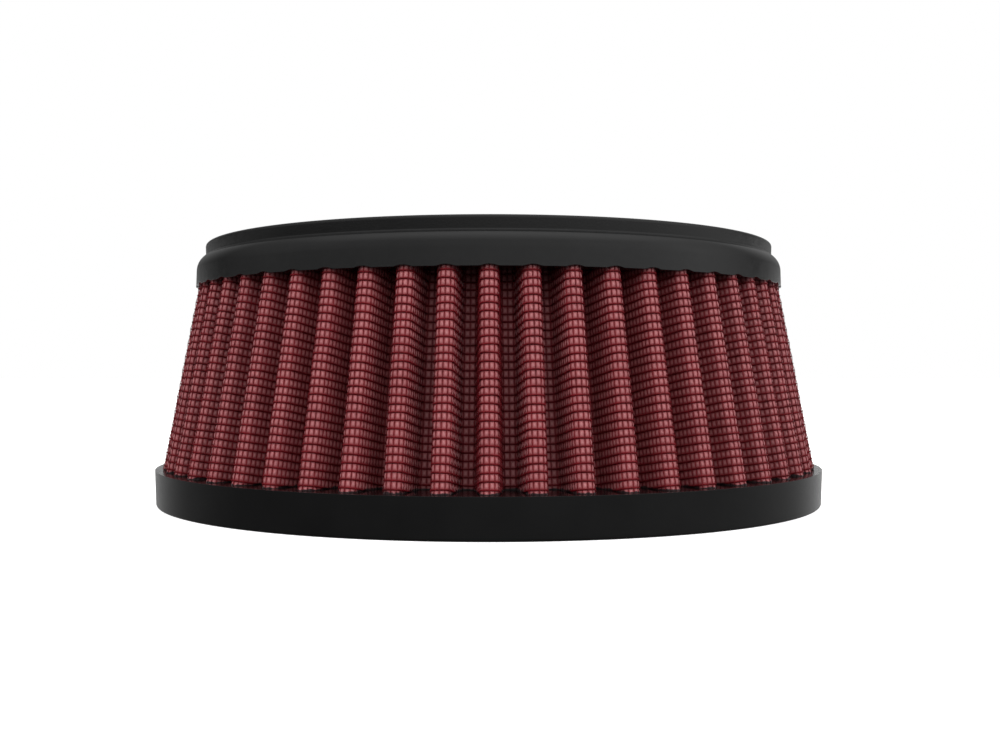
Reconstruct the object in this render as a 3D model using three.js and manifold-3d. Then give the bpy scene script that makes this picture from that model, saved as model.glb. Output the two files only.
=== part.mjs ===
// A tapered round air filter element: red oiled cotton gauze, pleated between two woven wire screens,
// with both ends of the pleated pack moulded into polyurethane rings.
// Millimetres, +Z up. The origin is the centre of the base ring's lower sealing face.
import * as THREE from "three";
import { mergeVertices } from "three/addons/utils/BufferGeometryUtils.js";
import Module from "manifold-3d";

// Overall size
const HEIGHT = 58;
const FLANGE_RADIUS = 76.2; // the widest point, at the flange's upper edge
const FLANGE_THICKNESS = 7.9;
const FLANGE_DRAFT = 0.4; // the flange's wall leans in by this much towards its foot
const LEDGE_WIDTH = 1.6; // flat rim of the flange outside the pleats
const BASE_BORE_RADIUS = 59.5;

// Top ring: a band, a rounded shoulder and a narrower lip above it
const BAND_RADIUS = 67.4;
const LIP_RADIUS = 65.3;
const TOP_RING_HEIGHT = 9.6;
const LIP_HEIGHT = 2.7;
const SHOULDER_ROUND = 3.75; // radius of the arc from the band's wall up to the lip's foot
const TOP_BORE_RADIUS = 52.5;
const EDGE_ROUND = 0.6;

// Pleated pack
const PLEATS = 53;
const PLEAT_DEPTH = 9;
const PLEAT_TAPER = 0.19; // radius lost for each millimetre of height
const CREST_WIDTH = 3.7; // flat top of an outer fold, at PACK_BOTTOM
const VALLEY_WIDTH = 2.2; // flat floor of an outer valley, at PACK_BOTTOM
const BASE_EMBED = 3; // how far the pack reaches into each ring
const TOP_EMBED = 4;

// Sheets of the pack, from the outside in
const SCREEN_THICKNESS = 0.25;
const PLY_THICKNESS = 0.15;
const PLY_COUNT = 4;
const SHEET_GAP = 0.1;

// Seam: the pack's two ends turn into the bore side by side, and a channel clips them together
const SEAM_GAP = 0.6; // between the two ends
const SEAM_SPREAD = THREE.MathUtils.degToRad(3.3); // extra angle that the seam's valley takes
const SEAM_TAIL = 3.6; // how far the ends reach in from the valley floor
const CLIP_WALL = 0.6;
const CLIP_CLEARANCE = 0.15;

// Clearance between the pack and the sockets that the rings form round it
const SOCKET_CLEARANCE = 0.3;

const RING_SEGMENTS = 88;
const ROUND_SEGMENTS = 3; // steps in a small rounded edge

const PITCH = (2 * Math.PI - SEAM_SPREAD) / PLEATS;
const PACK_BOTTOM = FLANGE_THICKNESS - BASE_EMBED;
const PACK_TOP = HEIGHT - TOP_RING_HEIGHT + TOP_EMBED;
const CREST_RADIUS = FLANGE_RADIUS - LEDGE_WIDTH + PLEAT_TAPER * BASE_EMBED; // at PACK_BOTTOM
const VALLEY_RADIUS = CREST_RADIUS - PLEAT_DEPTH; // at PACK_BOTTOM
const PACK_THICKNESS = 2 * SCREEN_THICKNESS + PLY_COUNT * PLY_THICKNESS + (PLY_COUNT + 1) * SHEET_GAP;

const rubber = new THREE.MeshStandardMaterial({ color: 0x1f1f20, roughness: 0.5, metalness: 0 });
const screenWire = new THREE.MeshStandardMaterial({ color: 0x45161a, roughness: 0.45, metalness: 0.4 });
const gauze = new THREE.MeshStandardMaterial({ color: 0xb5475a, roughness: 0.85, metalness: 0 });
const clipMetal = new THREE.MeshStandardMaterial({ color: 0xb9bcc0, roughness: 0.35, metalness: 1 });

const wasm = await Module();
wasm.setup();

// three.js geometry to a manifold-3d solid, and back.
function toSolid(geometry) {
  const bare = geometry.clone();
  bare.deleteAttribute("normal");
  bare.deleteAttribute("uv");
  const merged = mergeVertices(bare, 1e-4);
  const vertProperties = new Float32Array(merged.attributes.position.array);
  const triVerts = new Uint32Array(merged.index.array);
  return new wasm.Manifold(new wasm.Mesh({ numProp: 3, vertProperties, triVerts }));
}

function toGeometry(solid) {
  const mesh = solid.getMesh();
  const geometry = new THREE.BufferGeometry();
  geometry.setAttribute("position", new THREE.BufferAttribute(mesh.vertProperties, 3));
  geometry.setIndex(new THREE.BufferAttribute(mesh.triVerts, 1));
  geometry.computeVertexNormals();
  return geometry;
}

// A ring from a closed outline of radius and height, turned about Z.
function turnedRing(outline) {
  const points = outline.getPoints(ROUND_SEGMENTS);
  if (!points[0].equals(points.at(-1))) points.push(points[0].clone());
  return new THREE.LatheGeometry(points, RING_SEGMENTS).rotateX(Math.PI / 2);
}

// The point at a radius along a direction, moved sideways (anticlockwise) by a distance.
function polar(radius, angle, sideways = 0) {
  const out = new THREE.Vector2(Math.cos(angle), Math.sin(angle));
  const across = new THREE.Vector2(-out.y, out.x);
  return out.multiplyScalar(radius).addScaledVector(across, sideways);
}

// The pack's outer face seen from above at PACK_BOTTOM, anticlockwise from the seam on +Y and back to it.
function packOutline(tailLength) {
  const seam = Math.PI / 2;
  const tailEnd = VALLEY_RADIUS - tailLength;
  const points = [polar(tailEnd, seam, SEAM_GAP / 2), polar(VALLEY_RADIUS, seam, SEAM_GAP / 2)];
  for (let pleat = 0; pleat < PLEATS; pleat++) {
    const crest = seam + SEAM_SPREAD / 2 + (pleat + 0.5) * PITCH;
    points.push(polar(VALLEY_RADIUS, crest - PITCH / 2, VALLEY_WIDTH / 2));
    points.push(polar(CREST_RADIUS, crest, -CREST_WIDTH / 2), polar(CREST_RADIUS, crest, CREST_WIDTH / 2));
    points.push(polar(VALLEY_RADIUS, crest + PITCH / 2, -VALLEY_WIDTH / 2));
  }
  points.push(polar(VALLEY_RADIUS, seam, -SEAM_GAP / 2), polar(tailEnd, seam, -SEAM_GAP / 2));
  return points;
}

// The same outline moved towards the bore by an even distance, with mitred corners.
function offsetInward(points, distance) {
  const normals = points.slice(1).map((point, i) => {
    const along = point.clone().sub(points[i]).normalize();
    return new THREE.Vector2(-along.y, along.x);
  });
  return points.map((point, i) => {
    const before = normals[Math.max(i - 1, 0)];
    const after = normals[Math.min(i, normals.length - 1)];
    const mitre = before.clone().add(after).divideScalar(1 + before.dot(after));
    return point.clone().addScaledVector(mitre, distance);
  });
}

// Narrows a prism evenly towards the axis as it rises, so that its crests follow the pack's taper.
function taper(geometry) {
  const position = geometry.attributes.position;
  for (let i = 0; i < position.count; i++) {
    const scale = 1 - (PLEAT_TAPER * (position.getZ(i) - PACK_BOTTOM)) / CREST_RADIUS;
    position.setXY(i, position.getX(i) * scale, position.getY(i) * scale);
  }
  geometry.computeVertexNormals();
  return geometry;
}

// A tapered prism of a flat outline between two heights.
function taperedPrism(outline, bottom, top) {
  const options = { depth: top - bottom, bevelEnabled: false };
  return taper(new THREE.ExtrudeGeometry(new THREE.Shape(outline), options).translate(0, 0, bottom));
}

// A pleated strip between two depths below the pack's outer face.
function pleatedStrip(outerDepth, innerDepth, bottom, top, tailLength = SEAM_TAIL) {
  const face = packOutline(tailLength);
  const outer = offsetInward(face, outerDepth);
  const inner = offsetInward(face, innerDepth).reverse();
  return taperedPrism([...outer, ...inner], bottom, top);
}

// The U-shaped seam channel on +Y, open outwards, made larger all round by grow for its socket.
function seamChannel(grow, bottom, top) {
  const cavity = SEAM_GAP / 2 + PACK_THICKNESS + CLIP_CLEARANCE;
  const half = cavity + CLIP_WALL + grow;
  const floor = VALLEY_RADIUS - SEAM_TAIL - CLIP_CLEARANCE;
  const back = floor - CLIP_WALL - grow;
  const mouth = VALLEY_RADIUS - PACK_THICKNESS - CLIP_CLEARANCE + grow;
  const slot = cavity - grow;
  const outline = [
    new THREE.Vector2(-half, back),
    new THREE.Vector2(half, back),
    new THREE.Vector2(half, mouth),
    new THREE.Vector2(slot, mouth),
    new THREE.Vector2(slot, floor + grow),
    new THREE.Vector2(-slot, floor + grow),
    new THREE.Vector2(-slot, mouth),
    new THREE.Vector2(-half, mouth),
  ];
  return taperedPrism(outline, bottom, top);
}

// Cuts the pack's and the seam clip's sockets into a ring, between two heights.
function withSockets(ring, bottom, top) {
  const tail = SEAM_TAIL + SOCKET_CLEARANCE;
  const depth = PACK_THICKNESS + SOCKET_CLEARANCE;
  const pack = pleatedStrip(-SOCKET_CLEARANCE, depth, bottom, top, tail);
  const clip = seamChannel(SOCKET_CLEARANCE, bottom, top);
  return toGeometry(toSolid(ring).subtract(toSolid(pack)).subtract(toSolid(clip)));
}

// Wide moulded flange that seals against the carburettor side.
function baseRing() {
  const foot = FLANGE_RADIUS - FLANGE_DRAFT;
  const outline = new THREE.Path();
  outline.moveTo(BASE_BORE_RADIUS, 0);
  outline.lineTo(foot - EDGE_ROUND, 0);
  outline.quadraticCurveTo(foot, 0, foot, EDGE_ROUND);
  outline.lineTo(FLANGE_RADIUS, FLANGE_THICKNESS - EDGE_ROUND / 2);
  outline.quadraticCurveTo(FLANGE_RADIUS, FLANGE_THICKNESS, FLANGE_RADIUS - EDGE_ROUND / 2, FLANGE_THICKNESS);
  outline.lineTo(BASE_BORE_RADIUS, FLANGE_THICKNESS);
  outline.closePath();
  const above = FLANGE_THICKNESS + 1;
  return withSockets(turnedRing(outline), PACK_BOTTOM - SOCKET_CLEARANCE, above);
}

// Narrow moulded ring: band, rounded shoulder, and the lip that seals against the cover.
function topRing() {
  const bottom = HEIGHT - TOP_RING_HEIGHT;
  const lipFoot = HEIGHT - LIP_HEIGHT;
  const roundCentre = BAND_RADIUS - SHOULDER_ROUND;
  const roundEnd = Math.acos((LIP_RADIUS - roundCentre) / SHOULDER_ROUND);
  const outline = new THREE.Path();
  outline.moveTo(TOP_BORE_RADIUS, bottom);
  outline.lineTo(BAND_RADIUS, bottom);
  outline.absarc(roundCentre, lipFoot - SHOULDER_ROUND * Math.sin(roundEnd), SHOULDER_ROUND, 0, roundEnd);
  outline.lineTo(LIP_RADIUS, HEIGHT - EDGE_ROUND);
  outline.quadraticCurveTo(LIP_RADIUS, HEIGHT, LIP_RADIUS - EDGE_ROUND, HEIGHT);
  outline.lineTo(TOP_BORE_RADIUS, HEIGHT);
  outline.closePath();
  const below = bottom - 1;
  return withSockets(turnedRing(outline), below, PACK_TOP + SOCKET_CLEARANCE);
}

function named(name, geometry, material) {
  const mesh = new THREE.Mesh(geometry, material);
  mesh.name = name;
  return mesh;
}

// The sheets of the pack, from the outside in: screen, gauze plies, screen.
function packSheets() {
  const sheets = [{ name: "outer_screen", thickness: SCREEN_THICKNESS, material: screenWire }];
  for (let ply = 1; ply <= PLY_COUNT; ply++) {
    sheets.push({ name: `gauze_ply_${ply}`, thickness: PLY_THICKNESS, material: gauze });
  }
  sheets.push({ name: "inner_screen", thickness: SCREEN_THICKNESS, material: screenWire });
  let depth = 0;
  return sheets.map(({ name, thickness, material }) => {
    const strip = pleatedStrip(depth, depth + thickness, PACK_BOTTOM, PACK_TOP);
    depth += thickness + SHEET_GAP;
    return named(name, strip, material);
  });
}

const element = new THREE.Group();
element.add(named("base_ring", baseRing(), rubber));
element.add(named("top_ring", topRing(), rubber));
element.add(...packSheets());
element.add(named("seam_clip", seamChannel(0, PACK_BOTTOM, PACK_TOP), clipMetal));

export default element;
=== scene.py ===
"""Looks for a tapered round air filter element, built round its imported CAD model.

Everything is in metres in the CAD frame: +Z runs up the element's axis, the base face is at z = 0
and the seam of the pleated pack is towards +Y. The camera looks at the side away from the seam.
"""

import math

import bpy
import numpy as np
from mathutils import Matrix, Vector


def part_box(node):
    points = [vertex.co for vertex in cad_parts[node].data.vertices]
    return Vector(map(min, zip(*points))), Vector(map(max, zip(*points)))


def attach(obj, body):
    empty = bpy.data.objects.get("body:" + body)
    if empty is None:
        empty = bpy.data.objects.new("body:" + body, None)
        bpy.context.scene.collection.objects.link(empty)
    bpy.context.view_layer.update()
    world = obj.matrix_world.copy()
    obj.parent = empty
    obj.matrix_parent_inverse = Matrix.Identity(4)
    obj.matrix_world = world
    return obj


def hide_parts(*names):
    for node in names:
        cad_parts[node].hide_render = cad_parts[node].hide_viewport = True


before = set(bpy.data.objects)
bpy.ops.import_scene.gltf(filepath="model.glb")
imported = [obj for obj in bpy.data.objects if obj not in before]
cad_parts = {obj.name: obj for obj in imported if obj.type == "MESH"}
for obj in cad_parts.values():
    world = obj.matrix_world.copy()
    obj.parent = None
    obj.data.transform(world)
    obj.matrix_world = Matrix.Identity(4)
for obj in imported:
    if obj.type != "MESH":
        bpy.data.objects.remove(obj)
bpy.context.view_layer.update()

MM = 0.001

# Sizes from the frame
_, BASE_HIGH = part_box("base_ring")
TOP_LOW, TOP_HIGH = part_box("top_ring")
PACK_LOW, PACK_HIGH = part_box("outer_screen")
FLANGE_RADIUS = BASE_HIGH.x
FLANGE_TOP = BASE_HIGH.z
BAND_RADIUS = TOP_HIGH.x
BAND_FOOT = TOP_LOW.z
HEIGHT = TOP_HIGH.z

# The rings' moulded details
FLANGE_DRAFT = 0.25 * MM  # the flange's wall leans in towards its foot
BASE_BORE = 59.5 * MM
TOP_BORE = 52.5 * MM
LIP_RADIUS = 65.3 * MM
LIP_HEIGHT = 2.7 * MM
SHOULDER_ROUND = 3.75 * MM
CORNER_FILLET = 0.3 * MM  # hollow corner between the shoulder and the lip
BAND_DRAFT = 0.12 * MM
LIP_DRAFT = 0.05 * MM  # the lip's wall is a little undercut
EDGE_ROUND = 0.6 * MM
SHARP_ROUND = 0.05 * MM
BORE_ROUND = 1.0 * MM
ARCH_HEIGHT = 0.35 * MM  # the band's lower edge arches up over each crest
ARCH_WIDTH = 3.4 * MM
ARCH_REACH = 1.5 * MM  # how far in under the band the arch fades out
STRAIGHT_RUN = 0.6 * MM  # steps of a ring's outline longer than this are straight walls, not rounds
EDGE_LOOP = 0.03 * MM  # gap from each end of a straight wall to the loop that keeps it flat

# The pleats
PLEATS = 53
SEAM_SPREAD = math.radians(3.3)  # extra angle that the seam's valley takes
PITCH = (2 * math.pi - SEAM_SPREAD) / PLEATS
PLEAT_DEPTH = 9 * MM
CREST_WIDTH = 3.5 * MM
VALLEY_WIDTH = 2.06 * MM
LEDGE_WIDTH = 1.6 * MM
TAPER = 0.19  # crest radius lost for each unit of height
LEAN = math.atan(TAPER)
CREST_ROUND = 1.8 * MM  # fold radius of the outer face at a crest
VALLEY_ROUND = 0.45 * MM
SEAM_ROUND = 0.15 * MM  # where the pack's two ends turn in
SEAM_GAP = 0.04 * MM
SEAM_TAIL = 3.6 * MM  # how far the pack's two ends reach in from the valley floor, at its lower edge

# The woven wire
WARP_PER_PLEAT = 22  # upright wires
WEFT_PITCH = 1.5 * MM  # height between crosswise wires
WEFT_START = 0.97 * MM  # height of the lowest crosswise wire above the pack's lower edge
WEFT_RADIUS = 0.16 * MM
WARP_RADIUS = 0.07 * MM
WARP_WAVE = 0.1 * MM  # how far an upright wire bends over and under the crosswise ones
WANDER = 0.06 * MM  # how far the weave strays up and down, in each of two waves
SLOW_WAVE = (0.11, 2.9 * MM)  # radians for each upright wire, and the rise that adds one radian
QUICK_WAVE = (0.37, 1.3 * MM)
WIRE_SIDES = 6  # tubes closes each end with two quads, which suits six sides only
WIRE_PARTS = 4  # each screen's wires of one kind are shared over this many pieces

# Depths below the pack's outer face
OUTER_WIRE_DEPTH = 0.2 * MM
PLY_DEPTHS = [0.36 * MM, 0.62 * MM, 0.86 * MM, 1.1 * MM]
INNER_WIRE_DEPTH = 1.38 * MM
PILLOW = 0.16 * MM  # how far the outermost gauze swells out between two crosswise wires
INNER_PILLOW = PILLOW / 4

# Dark band at the pleats' feet over the base ring: partly resin that has wicked up into the pleats, partly
# painted shade where the pleats meet the flange
RESIN_AND_SHADE_RISE = 0.4 * MM
RESIN_AND_SHADE_COLOUR = (0.012, 0.004, 0.005, 1)
RESIN_AND_SHADE_EDGE_SCALE = 900.0  # raggedness of its edge, as a noise scale

# Usual range of a noise texture's value
NOISE_LOW = 0.3
NOISE_HIGH = 0.7

# The studio's brightness against the height of a ray, which goes from -1 (down) to 1 (up)
LEFT_SKY = [(-0.4, 0.07), (-0.14, 0.115), (0, 0.04), (0.09, 0.06), (0.11, 0.4), (0.7, 0.4), (1, 0.8)]
RIGHT_SKY = [(-0.4, 0.15), (-0.14, 0.235), (-0.04, 0.3), (0.09, 0.53), (0.11, 0.82), (0.7, 0.75), (1, 1.2)]
BACK_SKY = [(-0.4, 0.22), (-0.05, 0.48), (0, 1.5), (0.055, 1.5), (0.08, 0.15), (0.6, 0.45), (1, 1.0)]

# The back sky blends in over these values of a ray's run away from the camera's side, -1 to 1
BACK_SKY_START = -0.1
BACK_SKY_FULL = 0.5

# It is dimmer off to the sides than straight behind, and brighter on the right than on the left
BACK_SKY_EDGE = 0.45
BACK_SKY_LEFT = 0.75
BACK_SKY_RIGHT = 1.5

# Softboxes: degrees from the camera's side towards +X, degrees up, watts
SOFTBOXES = {
    "left_key": (-50, 28, 3.9),
    "right_key": (45, 28, 4.1),
    "front_fill": (0, 28, 1.1),
    "rear_fill": (180, 40, 3.0),
}
SOFTBOX_DISTANCE = 0.9
SOFTBOX_SIZE = 0.6

# The camera, fitted to the photo
CAMERA_DISTANCE = 273.4 * MM  # from the element's axis
CAMERA_AZIMUTH = math.radians(-0.1)  # from straight in front, towards +X
CAMERA_LENS = 41.39  # in Blender's lens millimetres, for a sensor SENSOR_WIDTH wide
SENSOR_WIDTH = 36.0
CAMERA_SHIFT = (0.0114, -0.00118)

# Mesh steps
FOLD_STEPS = 6  # round each fold
ROUND_STEPS = 8  # round a quarter of a ring's outline
SHOULDER_STEPS = 12
FILLET_STEPS = 4
RING_STEPS = 360  # round a ring
BAND_STEPS = 16 * PLEATS  # enough to draw the arches


# ---------------------------------------------------------------- mesh helpers


def mesh_object(name, points, faces, smooth=True):
    """A mesh object from an array of points and an array (or a list) of faces."""
    mesh = bpy.data.meshes.new(name)
    faces = np.asarray(faces, np.int32)
    corners = faces.shape[1]
    mesh.vertices.add(len(points))
    mesh.vertices.foreach_set("co", np.asarray(points, np.float32).ravel())
    mesh.loops.add(faces.size)
    mesh.loops.foreach_set("vertex_index", faces.ravel())
    mesh.polygons.add(len(faces))
    mesh.polygons.foreach_set("loop_start", np.arange(0, faces.size, corners, dtype=np.int32))
    mesh.polygons.foreach_set("use_smooth", np.full(len(faces), smooth))
    mesh.update(calc_edges=True)
    mesh.validate()
    piece = bpy.data.objects.new(name, mesh)
    bpy.context.scene.collection.objects.link(piece)
    return piece


def grid_faces(rows, columns, wrap=False):
    """Quads of a grid of points stored row by row. wrap joins the last column to the first."""
    across = columns if wrap else columns - 1
    row, column = np.meshgrid(np.arange(rows - 1), np.arange(across), indexing="ij")
    after = (column + 1) % columns
    a, b = row * columns + column, row * columns + after
    return np.stack([a, b, b + columns, a + columns], axis=-1).reshape(-1, 4)


def unit(vectors):
    """The vectors, each at length 1."""
    return vectors / np.linalg.norm(vectors, axis=-1, keepdims=True)


def step_lengths(points):
    """Distance from each point to the next."""
    return np.linalg.norm(np.diff(points, axis=0), axis=1)


def place(piece, material, cad_node):
    """Gives a piece its material and slot, hangs it on the root body, and hides the CAD node it stands for.
    """
    piece.data.materials.append(material)
    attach(piece, "root")
    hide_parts(cad_node)


# ---------------------------------------------------------------- the pleated pack's shape


def crest_radius(z):
    """Radius of the crest line, which leans in as it rises from the flange's ledge."""
    return FLANGE_RADIUS - LEDGE_WIDTH - TAPER * (z - FLANGE_TOP)


def polar(radius, angle, sideways):
    """Points at a radius along directions, moved sideways (anticlockwise)."""
    out = np.stack([np.cos(angle), np.sin(angle)], axis=-1)
    across = np.stack([-out[..., 1], out[..., 0]], axis=-1)
    return radius * out + np.asarray(sideways)[..., None] * across


def pack_corners(z):
    """Corners of the pack's outer face at one height, anticlockwise from the seam and back to it."""
    crest = crest_radius(z)
    valley = crest - PLEAT_DEPTH
    middle = math.pi / 2 + SEAM_SPREAD / 2 + (np.arange(PLEATS) + 0.5) * PITCH
    pleat = np.stack(
        [
            polar(valley, middle - PITCH / 2, np.full(PLEATS, VALLEY_WIDTH / 2)),
            polar(crest, middle, np.full(PLEATS, -CREST_WIDTH / 2)),
            polar(crest, middle, np.full(PLEATS, CREST_WIDTH / 2)),
            polar(valley, middle + PITCH / 2, np.full(PLEATS, -VALLEY_WIDTH / 2)),
        ],
        axis=1,
    ).reshape(-1, 2)
    half = SEAM_GAP / 2
    foot = crest_radius(PACK_LOW.z)
    tail_end = crest * (foot - PLEAT_DEPTH - SEAM_TAIL) / foot
    start = [[-half, tail_end], [-half, valley]]
    end = [[half, valley], [half, tail_end]]
    return np.concatenate([start, pleat, end])


def fold_radii(depth):
    """Fold radius at each corner of the face at a depth: positive round a crest, negative in a valley."""
    crest = CREST_ROUND - depth
    valley = -(VALLEY_ROUND + depth)
    pleats = np.tile([valley, crest, crest, valley], PLEATS)
    return np.concatenate([[SEAM_ROUND], pleats, [SEAM_ROUND]])


def outline(z, depth):
    """The pack's face at a depth, at one height, with its corners rounded: points and inward normals."""
    corners = pack_corners(z)
    along = unit(np.diff(corners, axis=0))
    inward = np.stack([-along[:, 1], along[:, 0]], axis=-1)
    before, after = inward[:-1], inward[1:]
    mitre = (before + after) / (1 + (before * after).sum(1))[:, None]
    radius = fold_radii(depth)[:, None]
    centre = corners[1:-1] + mitre * (depth + radius)
    cross = before[:, 0] * after[:, 1] - before[:, 1] * after[:, 0]
    turn = np.arctan2(cross, (before * after).sum(1))[:, None]
    angle = np.arctan2(before[:, 1], before[:, 0])[:, None] + turn * np.linspace(0, 1, FOLD_STEPS + 1)
    normal = np.stack([np.cos(angle), np.sin(angle)], axis=-1)
    arcs = centre[:, None] - normal * radius[:, None]
    ends = corners[[0, -1]] + inward[[0, -1]] * depth
    points = np.concatenate([ends[:1], arcs.reshape(-1, 2), ends[1:]])
    normals = np.concatenate([inward[:1], normal.reshape(-1, 2), inward[-1:]])
    return points, normals


def wire_count():
    """How many upright wires lie from the valley before the first crest to each point of an outline."""
    points, _ = outline((BAND_FOOT + FLANGE_TOP) / 2, OUTER_WIRE_DEPTH)
    length = np.concatenate([[0], np.cumsum(step_lengths(points))])
    folds = length[1:-1].reshape(-1, FOLD_STEPS + 1)[1:-1].reshape(PLEATS, 4, FOLD_STEPS + 1)
    crests = (folds[:, 1, -1] + folds[:, 2, 0]) / 2
    per_pleat = (crests[-1] - crests[0]) / (PLEATS - 1)
    return (length - crests[0]) / per_pleat * WARP_PER_PLEAT + WARP_PER_PLEAT / 2


WIRE_AT = wire_count()


def cloth(heights, counts, depth, lift=0.0):
    """Points on the pack at every height (a row each) and wire count (a column each), and their normals.

    lift, a number or an array of rows by columns, moves points from that depth towards the bore.
    Rows lie square to the leaning crests, so they drop as they go into a valley.
    """
    rows = []
    normals = []
    for z in heights:
        points, inward = outline(z, depth)
        at = np.stack([np.interp(counts, WIRE_AT, points[:, i]) for i in range(2)], axis=-1)
        normal = np.stack([np.interp(counts, WIRE_AT, inward[:, i]) for i in range(2)], axis=-1)
        normals.append(unit(normal))
        rows.append(at)
    flat, normals = np.array(rows), np.array(normals)
    flat = flat + normals * np.broadcast_to(lift, flat.shape[:2])[..., None]
    radius = np.linalg.norm(flat, axis=-1)
    z = np.asarray(heights)[:, None]
    drop = (crest_radius(z) - radius) * math.sin(LEAN) * math.cos(LEAN)
    leaned = flat * ((radius + TAPER * drop) / radius)[..., None]
    return np.concatenate([leaned, (z - drop + wander(counts, z))[..., None]], axis=-1), normals


def wander(counts, z):
    """Slow, uneven rise and fall of the weave round the pack."""
    slow = np.sin(SLOW_WAVE[0] * counts + z / SLOW_WAVE[1])
    quick = np.sin(QUICK_WAVE[0] * counts - z / QUICK_WAVE[1])
    return WANDER * (slow + quick)


# ---------------------------------------------------------------- pieces of the pack


WEFT_ROWS = np.arange(PACK_LOW.z + WEFT_START, PACK_HIGH.z, WEFT_PITCH)
FIRST_WIRE = math.ceil(WIRE_AT[0])
LAST_WIRE = math.floor(WIRE_AT[-1])
WARP_WIRES = np.arange(FIRST_WIRE, LAST_WIRE + 1)


def gauze_ply(ply, depth, material, pillow):
    """One ply of gauze: a single folded sheet with a row on each crosswise wire and one between."""
    heights = np.linspace(WEFT_ROWS[0], WEFT_ROWS[-1], 2 * len(WEFT_ROWS) - 1)
    heights = np.concatenate([[PACK_LOW.z], heights, [PACK_HIGH.z]])
    rows = (heights - WEFT_ROWS[0]) / WEFT_PITCH
    lift = -pillow * (1 - np.cos(2 * math.pi * rows)) / 2
    points, _ = cloth(heights, WIRE_AT, depth, lift[:, None])
    faces = grid_faces(len(heights), len(WIRE_AT))
    piece = mesh_object(f"{ply}_cloth", points.reshape(-1, 3), faces)
    u, v = np.meshgrid(WIRE_AT, rows)
    at = np.stack([u.ravel(), v.ravel()], axis=-1)
    cloth_uv = piece.data.uv_layers.new(name="cloth")
    cloth_uv.data.foreach_set("uv", at[faces.ravel()].astype(np.float32).ravel())
    place(piece, material, ply)


def tubes(name, paths, inward, radius):
    """Round wires along paths, an array of wires by points. inward holds a direction square to each path."""
    count, length, _ = paths.shape
    along = unit(np.gradient(paths, axis=1))
    across = unit(np.cross(along, inward))
    out = np.cross(across, along)
    angle = (np.arange(WIRE_SIDES) + 0.5) * 2 * math.pi / WIRE_SIDES
    ring = across[..., None, :] * np.cos(angle)[:, None] + out[..., None, :] * np.sin(angle)[:, None]
    points = (paths[..., None, :] + radius * ring).reshape(-1, 3)
    wall = grid_faces(length, WIRE_SIDES, wrap=True)
    cap = np.array([[0, 3, 2, 1], [0, 5, 4, 3]])  # two quads close a six-sided end
    ends = np.concatenate([cap, cap[:, ::-1] + (length - 1) * WIRE_SIDES])
    one = np.concatenate([wall, ends])
    first_point = np.arange(count) * length * WIRE_SIDES
    faces = (one[None] + first_point[:, None, None]).reshape(-1, 4)
    return mesh_object(name, points, faces)


def level(normals):
    """Normals in the plane, as directions in space."""
    return np.concatenate([normals, np.zeros(normals.shape[:-1] + (1,))], axis=-1)


def wire_pieces(screen, kind, paths, normals, radius, material):
    """Wires of one kind, shared out over a few pieces to keep each mesh a handy size."""
    for part, chosen in enumerate(np.array_split(np.arange(len(paths)), WIRE_PARTS), 1):
        name = f"{screen}_{kind}_wires_{part}"
        piece = tubes(name, paths[chosen], level(normals[chosen]), radius)
        place(piece, material, screen)


def wire_screen(screen, depth, material):
    """A woven wire screen: crosswise wires that follow the folds, and upright ones crimped past them."""
    weft, normals = cloth(WEFT_ROWS, WIRE_AT, depth)
    wire_pieces(screen, "crosswise", weft, normals, WEFT_RADIUS, material)
    over = np.cos(math.pi * np.arange(len(WEFT_ROWS)))[:, None] * np.cos(math.pi * WARP_WIRES)
    ends = np.zeros((1, len(WARP_WIRES)))
    heights = np.concatenate([[PACK_LOW.z], WEFT_ROWS, [PACK_HIGH.z]])
    warp, normals = cloth(heights, WARP_WIRES, depth, WARP_WAVE * np.concatenate([ends, over, ends]))
    warp, normals = warp.transpose(1, 0, 2), normals.transpose(1, 0, 2)
    wire_pieces(screen, "upright", warp, normals, WARP_RADIUS, material)


# ---------------------------------------------------------------- rings


def arc(centre, round_radius, start, end, steps=ROUND_STEPS):
    """Points on part of a circle in the radius-height plane, angles in degrees."""
    angle = np.radians(np.linspace(start, end, steps + 1))
    return [(centre[0] + round_radius * math.cos(a), centre[1] + round_radius * math.sin(a)) for a in angle]


def crest_arches(radius, height, angle):
    """Rise of the band's lower outer edge: an arch over each crest of the pack, and nothing elsewhere."""
    turn = (angle - math.pi / 2 - SEAM_SPREAD / 2) % (2 * math.pi) / PITCH
    off_crest = (turn % 1 - 0.5) * PITCH * BAND_RADIUS
    arch = np.clip(1 - (2 * off_crest / ARCH_WIDTH) ** 2, 0, 1)
    on_edge = (radius > BAND_RADIUS - ARCH_REACH / 2) & (height < BAND_FOOT + EDGE_ROUND / 2)
    return ARCH_HEIGHT * arch * on_edge


def held_flat(profile):
    """The profile with a point near both ends of each straight wall, so smooth shading doesn't bend it."""
    points = []
    for start, end in zip(profile, np.roll(profile, -1, axis=0)):
        points.append(start)
        length = np.linalg.norm(end - start)
        if length > STRAIGHT_RUN:
            step = (end - start) * EDGE_LOOP / length
            points += [start + step, end - step]
    return np.array(points)


def turned(name, profile, material, cad_node, steps=RING_STEPS, rise=None):
    """A ring: a closed profile of (radius, height) points, anticlockwise, turned about the axis.

    rise, if given, is a function of radius, height and angle that says how far each point is lifted.
    """
    profile = held_flat(np.array(profile))
    radius, height = profile.T[:, :, None]
    angle = np.arange(steps) * 2 * math.pi / steps
    z = height + (rise(radius, height, angle) if rise else np.zeros(steps))
    points = np.stack([radius * np.cos(angle), radius * np.sin(angle), z], axis=-1)
    closed = np.concatenate([points, points[:1]])
    faces = grid_faces(len(closed), steps, wrap=True) % (len(profile) * steps)
    piece = mesh_object(name, points.reshape(-1, 3), faces[:, ::-1])
    place(piece, material, cad_node)


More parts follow.
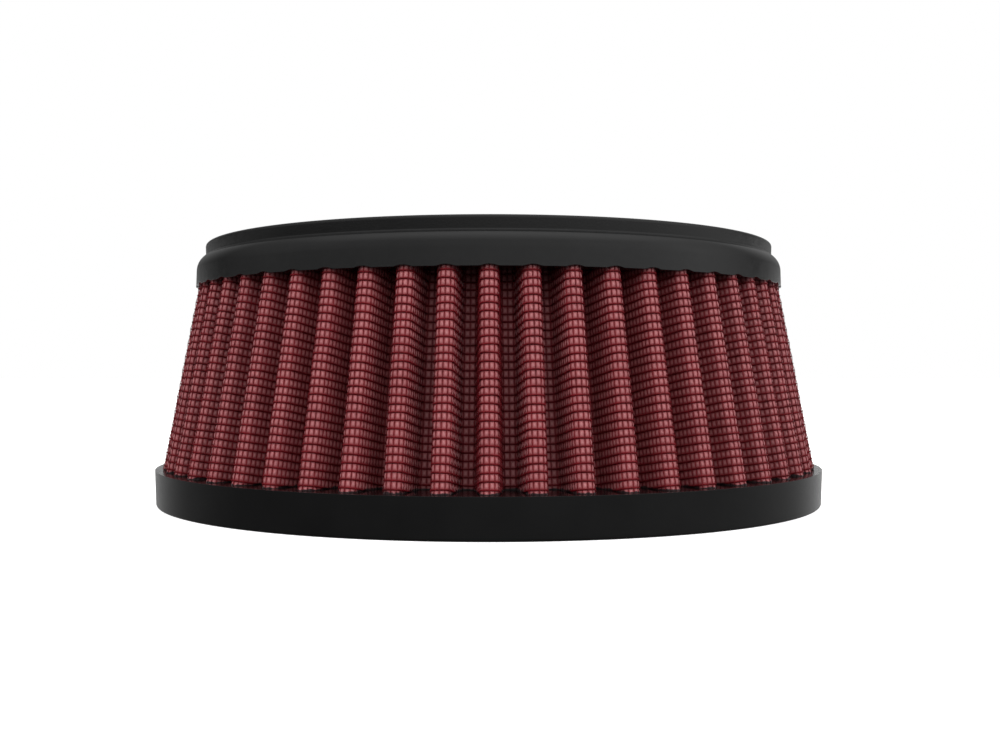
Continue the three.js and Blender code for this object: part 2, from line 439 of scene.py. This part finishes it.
def base_profile():
    """The wide ring's outline, from its bore: foot, leaning wall and flat top."""
    foot = FLANGE_RADIUS - FLANGE_DRAFT
    rim = SHARP_ROUND
    return [
        *arc((BASE_BORE + BORE_ROUND, BORE_ROUND), BORE_ROUND, 180, 270),
        *arc((foot - EDGE_ROUND, EDGE_ROUND), EDGE_ROUND, 270, 360),
        *arc((FLANGE_RADIUS - rim, FLANGE_TOP - rim), rim, 0, 90),
        *arc((BASE_BORE + EDGE_ROUND, FLANGE_TOP - EDGE_ROUND), EDGE_ROUND, 90, 180),
    ]


def top_profile():
    """The narrow ring's outline, from its bore: band, round shoulder, hollow corner and raised lip."""
    rim = SHARP_ROUND
    shoulder_centre = BAND_RADIUS - BAND_DRAFT - SHOULDER_ROUND
    fillet_centre = LIP_RADIUS - LIP_DRAFT + CORNER_FILLET
    reach = SHOULDER_ROUND + CORNER_FILLET
    meeting = math.acos((fillet_centre - shoulder_centre) / reach)
    fillet_height = HEIGHT - LIP_HEIGHT + CORNER_FILLET / 2
    shoulder_foot = fillet_height - reach * math.sin(meeting)
    meeting = math.degrees(meeting)
    return [
        *arc((TOP_BORE + EDGE_ROUND, BAND_FOOT + EDGE_ROUND), EDGE_ROUND, 180, 270),
        (BAND_RADIUS - ARCH_REACH, BAND_FOOT),
        *arc((BAND_RADIUS - rim, BAND_FOOT + rim), rim, 270, 360),
        *arc((shoulder_centre, shoulder_foot), SHOULDER_ROUND, 0, meeting, SHOULDER_STEPS),
        *arc((fillet_centre, fillet_height), CORNER_FILLET, meeting + 180, 180, FILLET_STEPS),
        *arc((LIP_RADIUS - EDGE_ROUND, HEIGHT - EDGE_ROUND), EDGE_ROUND, 0, 90),
        *arc((TOP_BORE + BORE_ROUND, HEIGHT - BORE_ROUND), BORE_ROUND, 90, 180),
    ]


# ---------------------------------------------------------------- materials


def connect(tree, made, inputs):
    """Sets a node's sockets, by name or number, each to a value or to another node's output."""
    for key, value in inputs.items():
        if isinstance(value, bpy.types.NodeSocket):
            tree.links.new(value, made.inputs[key])
        else:
            made.inputs[key].default_value = value


def node(tree, kind, inputs, **settings):
    """Adds a shader node, with its settings and its inputs as in connect."""
    made = tree.nodes.new(kind)
    for key, value in settings.items():
        setattr(made, key, value)
    connect(tree, made, inputs)
    return made


def math_node(tree, operation, first, second=0.0):
    return node(tree, "ShaderNodeMath", {0: first, 1: second}, operation=operation).outputs[0]


def wave(tree, operation, position, count):
    """A sine or cosine wave that repeats count times for each unit of position."""
    return math_node(tree, operation, math_node(tree, "MULTIPLY", position, 2 * math.pi * count))


def blank_material(name):
    """A material with its Principled node, and the tree's object coordinates."""
    material = bpy.data.materials.new(name)
    material.use_nodes = True
    tree = material.node_tree
    shader = tree.nodes["Principled BSDF"]
    coordinates = node(tree, "ShaderNodeTexCoord", {}).outputs["Object"]
    return material, tree, shader, coordinates


def noise(tree, vector, scale, detail=3.0):
    """Noise whose patches are about 1 / scale metres across."""
    inputs = {"Vector": vector, "Scale": scale, "Detail": detail}
    return node(tree, "ShaderNodeTexNoise", inputs).outputs["Fac"]


def ramp(tree, factor, low, high, start=NOISE_LOW, end=NOISE_HIGH):
    """Maps a factor between two colours or two numbers."""
    if isinstance(low, tuple):
        made = node(tree, "ShaderNodeValToRGB", {"Fac": factor})
        made.color_ramp.elements[0].position = start
        made.color_ramp.elements[1].position = end
        made.color_ramp.elements[0].color = (*low, 1)
        made.color_ramp.elements[1].color = (*high, 1)
        return made.outputs["Color"]
    inputs = {"Value": factor, "From Min": start, "From Max": end, "To Min": low, "To Max": high}
    return node(tree, "ShaderNodeMapRange", inputs).outputs[0]


def bump(tree, height, strength, depth, on=None):
    """A bumped normal. on, if given, is another bumped normal that this one adds to."""
    inputs = {"Height": height, "Strength": strength, "Distance": depth}
    if on is not None:
        inputs["Normal"] = on
    return node(tree, "ShaderNodeBump", inputs).outputs[0]


def blend_colour(tree, factor, first, second, blend_type="MIX"):
    """The first colour, changed by the second as far as the factor says."""
    inputs = {0: factor, 6: first, 7: second}
    return node(tree, "ShaderNodeMix", inputs, data_type="RGBA", blend_type=blend_type).outputs[2]


def resin_and_shade_line(tree, coordinates):
    """1 where the base ring's resin has crept up the pleats and painted shade darkens their feet, 0 on clean
    cloth, with a ragged edge.
    """
    height = node(tree, "ShaderNodeSeparateXYZ", {0: coordinates}).outputs[2]
    ragged = ramp(tree, noise(tree, coordinates, RESIN_AND_SHADE_EDGE_SCALE), -RESIN_AND_SHADE_RISE / 2, RESIN_AND_SHADE_RISE / 2)
    at = math_node(tree, "ADD", height, ragged)
    return ramp(tree, at, 1.0, 0.0, FLANGE_TOP + RESIN_AND_SHADE_RISE / 2, FLANGE_TOP + RESIN_AND_SHADE_RISE)


def rubber_material():
    """Black moulded polyurethane: glossy, with a faint cast grain and cloudy patches."""
    material, tree, shader, at = blank_material("moulded_rubber")
    black = (0.0025, 0.0025, 0.0026)
    cloudy_black = (0.0045, 0.0045, 0.0046)
    cloud = noise(tree, at, 90.0)
    gloss = noise(tree, at, 700.0)
    grain = noise(tree, at, 2600.0, detail=2.0)
    looks = {
        "Base Color": ramp(tree, cloud, black, cloudy_black),
        "Roughness": ramp(tree, gloss, 0.17, 0.23),
        "Normal": bump(tree, grain, strength=0.15, depth=0.05 * MM),
    }
    connect(tree, shader, looks)
    return material


def gauze_material():
    """Red oiled cotton gauze: soft cells between the wires, with fine threads and uneven oil. Each cell's
    middle is paled as a painted highlight of the gauze's sheen, and its edge by the wires is darkened,
    partly by pooled oil and partly as painted shade.
    """
    material, tree, shader, at = blank_material("oiled_gauze")
    # Painted light: the pale pink cell middle stands for a highlight of the gauze's sheen, and the deep red
    # beside the wires is partly pooled oil and partly painted shade
    highlit_cell_middle = (0.44, 0.163, 0.17)
    oiled_and_shaded_beside_wire = (0.26, 0.028, 0.034)
    oily_tint = (0.82, 0.72, 0.74)
    no_tint = (1.0, 1.0, 1.0)
    threads_across = 4  # cotton threads in a cell between the wires
    threads_up = 6
    cell_clear = -0.7  # values of near_wire where a cell's edge starts and is darkest
    cell_dark = 0.95

    cloth_at = node(tree, "ShaderNodeUVMap", {}, uv_map="cloth").outputs[0]
    across, up, _ = node(tree, "ShaderNodeSeparateXYZ", {0: cloth_at}).outputs
    near_wire = math_node(tree, "MAXIMUM", wave(tree, "COSINE", across, 1), wave(tree, "COSINE", up, 1))
    thread_u = wave(tree, "SINE", across, threads_across)
    thread_v = wave(tree, "SINE", up, threads_up)
    thread = math_node(tree, "MAXIMUM", thread_u, thread_v)
    oil = noise(tree, at, 160.0)
    fuzz = noise(tree, at, 3000.0, detail=2.0)

    edge = ramp(tree, near_wire, 0.0, 1.0, cell_clear, cell_dark)
    # Cell colour runs from the painted highlight in its middle to the oil and painted shade by the wires
    cell = ramp(tree, edge, highlit_cell_middle, oiled_and_shaded_beside_wire, 0.0, 1.0)
    oiled = blend_colour(tree, 1.0, cell, ramp(tree, oil, oily_tint, no_tint), "MULTIPLY")
    swell = bump(tree, near_wire, strength=0.6, depth=-0.08 * MM)
    weave = bump(tree, thread, strength=0.35, depth=0.03 * MM, on=swell)
    looks = {
        # The gauze darkens at the pleats' feet: partly resin, partly painted shade where the pleats meet the
        # flange
        "Base Color": blend_colour(tree, resin_and_shade_line(tree, at), oiled, RESIN_AND_SHADE_COLOUR),
        "Roughness": ramp(tree, oil, 0.5, 0.68),
        "Sheen Weight": 0.25,
        "Sheen Roughness": 0.4,
        "Sheen Tint": (1.0, 0.75, 0.78, 1),
        "Normal": bump(tree, fuzz, strength=0.3, depth=0.03 * MM, on=weave),
    }
    connect(tree, shader, looks)
    return material


def wire_material():
    """Fine wire under a dark red film of filter oil, which is thinner and paler in places."""
    material, tree, shader, at = blank_material("oiled_wire")
    thick_film = (0.08, 0.003, 0.005)
    thin_film = (0.16, 0.008, 0.013)
    film = noise(tree, at, 400.0)
    oiled = ramp(tree, film, thick_film, thin_film)
    looks = {
        # The wires darken at the pleats' feet: partly resin, partly painted shade where the pleats meet the
        # flange
        "Base Color": blend_colour(tree, resin_and_shade_line(tree, at), oiled, RESIN_AND_SHADE_COLOUR),
        "Roughness": ramp(tree, film, 0.45, 0.6),
        "Specular IOR Level": 0.15,
    }
    connect(tree, shader, looks)
    return material


def clip_material():
    """Rolled aluminium strip: fine lines along its length, scuffed."""
    material, tree, shader, at = blank_material("clip_strip")
    dull = (0.42, 0.42, 0.43)
    bright = (0.6, 0.6, 0.61)
    stretch = (1.0, 1.0, 0.03)  # draws the noise out into lines up the strip
    stretched = node(tree, "ShaderNodeMapping", {"Vector": at, "Scale": stretch}).outputs[0]
    lines = noise(tree, stretched, 6000.0, detail=2.0)
    scuff = noise(tree, at, 300.0)
    looks = {
        "Base Color": ramp(tree, scuff, dull, bright),
        "Roughness": ramp(tree, lines, 0.3, 0.5),
        "Metallic": 1.0,
        "Normal": bump(tree, lines, strength=0.2, depth=0.02 * MM),
    }
    connect(tree, shader, looks)
    return material


# ---------------------------------------------------------------- stage, light and camera


def backdrop():
    """A plain pale floor, seen only from above."""
    size = 6.0
    drop = -0.05 * MM  # just under the base face
    corners = [(-size, -size, drop), (size, -size, drop), (size, size, drop), (-size, size, drop)]
    floor = mesh_object("floor", corners, [[0, 1, 2, 3]], smooth=False)
    material, tree, shader, at = blank_material("pale_floor")
    looks = {
        "Base Color": ramp(tree, noise(tree, at, 6.0), (0.93, 0.93, 0.93), (0.95, 0.95, 0.95)),
        "Roughness": 0.9,
        "Emission Color": (1, 1, 1, 1),
        "Emission Strength": 0.75,
    }
    connect(tree, shader, looks)
    clear = node(tree, "ShaderNodeBsdfTransparent", {}).outputs[0]
    under = node(tree, "ShaderNodeNewGeometry", {}).outputs["Backfacing"]
    one_sided = node(tree, "ShaderNodeMixShader", {0: under, 1: shader.outputs[0], 2: clear})
    connect(tree, tree.nodes["Material Output"], {"Surface": one_sided.outputs[0]})
    floor.data.materials.append(material)
    floor.visible_glossy = False
    floor.visible_diffuse = False


def gradient(tree, factor, stops):
    """A number that follows (position, value) stops, with positions from -1 to 1."""
    made = node(tree, "ShaderNodeValToRGB", {"Fac": ramp(tree, factor, 0.0, 1.0, -1.0, 1.0)})
    elements = made.color_ramp.elements
    while len(elements) < len(stops):
        elements.new(0.5)
    for element, (position, value) in zip(elements, stops):
        element.position = (position + 1) / 2
        element.color = (value, value, value, 1)
    return made.outputs[0]


def studio_world():
    """White to the camera. As light it has a left, a right and a back sky, which blend into each other."""
    world = bpy.data.worlds.new("studio")
    world.use_nodes = True
    tree = world.node_tree
    tree.nodes.clear()
    ray = node(tree, "ShaderNodeTexCoord", {}).outputs["Generated"]
    side, back, height = node(tree, "ShaderNodeSeparateXYZ", {0: ray}).outputs
    to_right = ramp(tree, side, 0.0, 1.0, -1.0, 1.0)
    left_sky = gradient(tree, height, LEFT_SKY)
    right_sky = gradient(tree, height, RIGHT_SKY)
    front = node(tree, "ShaderNodeMix", {"Factor": to_right, "A": left_sky, "B": right_sky}).outputs[0]
    straight_back = ramp(tree, back, BACK_SKY_EDGE, 1.0, BACK_SKY_FULL, 1.0)
    rightward = ramp(tree, side, BACK_SKY_LEFT, BACK_SKY_RIGHT, -1.0, 1.0)
    leaning = math_node(tree, "MULTIPLY", straight_back, rightward)
    rear = math_node(tree, "MULTIPLY", gradient(tree, height, BACK_SKY), leaning)
    behind = ramp(tree, back, 0.0, 1.0, BACK_SKY_START, BACK_SKY_FULL)
    glow = node(tree, "ShaderNodeMix", {"Factor": behind, "A": front, "B": rear}).outputs[0]
    lighting = node(tree, "ShaderNodeBackground", {"Color": (1, 1, 1, 1), "Strength": glow})
    seen = node(tree, "ShaderNodeBackground", {"Color": (1, 1, 1, 1), "Strength": 1.0})
    camera_ray = node(tree, "ShaderNodeLightPath", {}).outputs["Is Camera Ray"]
    mix = node(tree, "ShaderNodeMixShader", {0: camera_ray, 1: lighting.outputs[0], 2: seen.outputs[0]})
    node(tree, "ShaderNodeOutputWorld", {0: mix.outputs[0]})
    bpy.context.scene.world = world


def softbox(name, azimuth, elevation, power):
    """A square area light aimed at the element's middle. Azimuth is from the camera's side towards +X."""
    a = math.radians(azimuth)
    e = math.radians(elevation)
    direction = np.array([math.sin(a) * math.cos(e), -math.cos(a) * math.cos(e), math.sin(e)])
    light = bpy.data.lights.new(name, "AREA")
    light.size = SOFTBOX_SIZE
    light.energy = power
    lamp = bpy.data.objects.new(name, light)
    lamp.location = direction * SOFTBOX_DISTANCE + np.array([0, 0, HEIGHT / 2])
    lamp.rotation_euler = Vector(-direction).to_track_quat("-Z", "Y").to_euler()
    lamp.visible_glossy = False
    bpy.context.scene.collection.objects.link(lamp)


def camera():
    """A level camera at the element's mid-height, in front of the side away from the seam."""
    lens = bpy.data.cameras.new("camera")
    lens.lens = CAMERA_LENS
    lens.sensor_width = SENSOR_WIDTH
    lens.shift_x, lens.shift_y = CAMERA_SHIFT
    lens.clip_start = 10 * MM
    seat = bpy.data.objects.new("camera", lens)
    in_front = -CAMERA_DISTANCE * math.cos(CAMERA_AZIMUTH)
    seat.location = (CAMERA_DISTANCE * math.sin(CAMERA_AZIMUTH), in_front, HEIGHT / 2)
    seat.rotation_euler = (math.pi / 2, 0, CAMERA_AZIMUTH)
    bpy.context.scene.collection.objects.link(seat)
    bpy.context.scene.camera = seat


# ---------------------------------------------------------------- build


camera()
studio_world()
backdrop()
for lamp_name, (azimuth, elevation, power) in SOFTBOXES.items():
    softbox(lamp_name, azimuth, elevation, power)
bpy.context.scene.view_settings.view_transform = "Standard"

rubber = rubber_material()
gauze = gauze_material()
wire = wire_material()

turned("base_flange", base_profile(), rubber, "base_ring")
turned("top_band", top_profile(), rubber, "top_ring", BAND_STEPS, crest_arches)
for number, ply_depth in enumerate(PLY_DEPTHS, 1):
    gauze_ply(f"gauze_ply_{number}", ply_depth, gauze, PILLOW if number == 1 else INNER_PILLOW)
wire_screen("outer_screen", OUTER_WIRE_DEPTH, wire)
wire_screen("inner_screen", INNER_WIRE_DEPTH, wire)

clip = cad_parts["seam_clip"]
clip.data.materials.clear()
clip.data.materials.append(clip_material())
